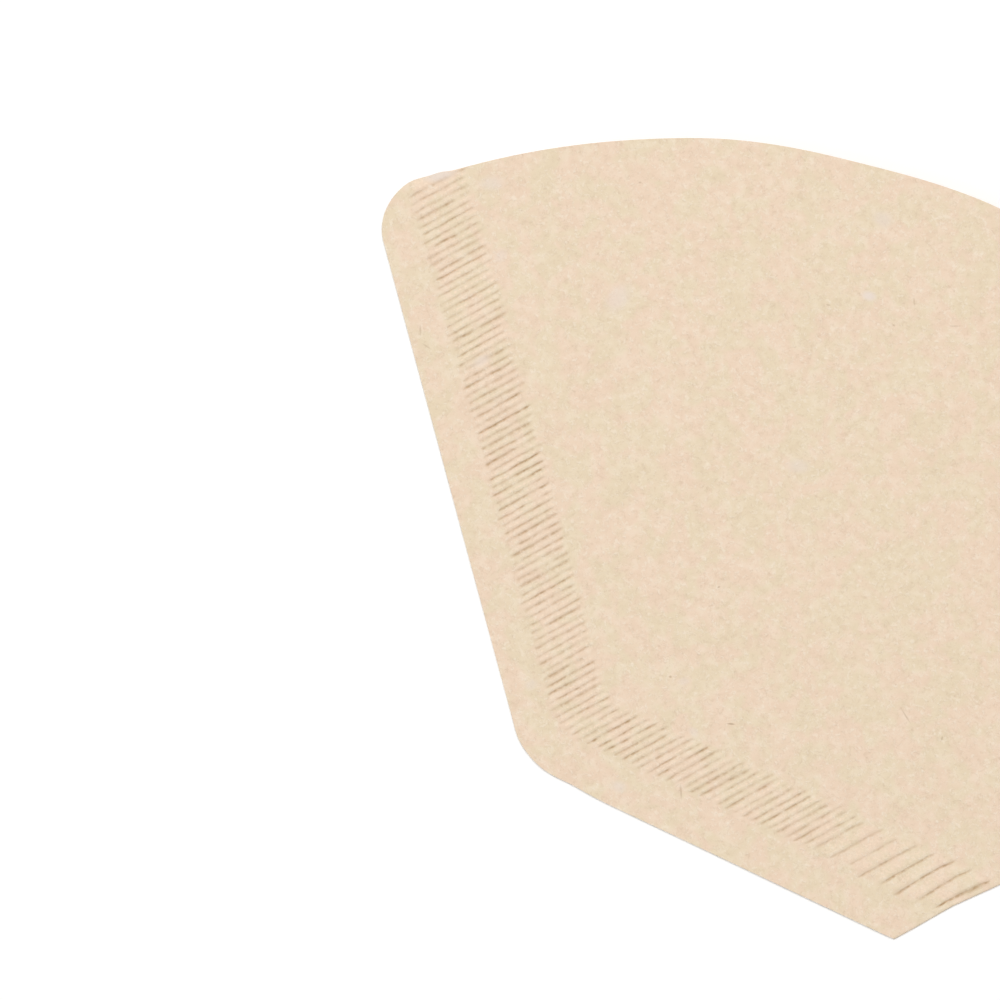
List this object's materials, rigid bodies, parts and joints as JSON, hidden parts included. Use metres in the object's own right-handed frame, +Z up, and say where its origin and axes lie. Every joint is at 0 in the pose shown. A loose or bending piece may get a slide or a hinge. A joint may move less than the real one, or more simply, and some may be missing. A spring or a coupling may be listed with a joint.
{
  "type": "paper coffee filter",
  "caption": "Flat-folded cone filter of unbleached crepe paper, with a fan-shaped mouth, a folded side and a crimped seam along the other side and the bottom.",
  "frame": {"origin": "centre of the bounding box in X and Y, on the surface that the back ply lies on", "axes": "+X across the sheet towards the folded side, +Y from the bottom seam towards the open mouth, +Z up through the plies"},
  "size_m": [0.162, 0.0996, 0.0029],
  "materials": {
    "filter_paper": "matt unbleached filter paper, softly mottled, with fine fibres and specks"
  },
  "bodies": {
    "root": {"filter_paper": "filter_paper"}
  },
  "joints": []
}
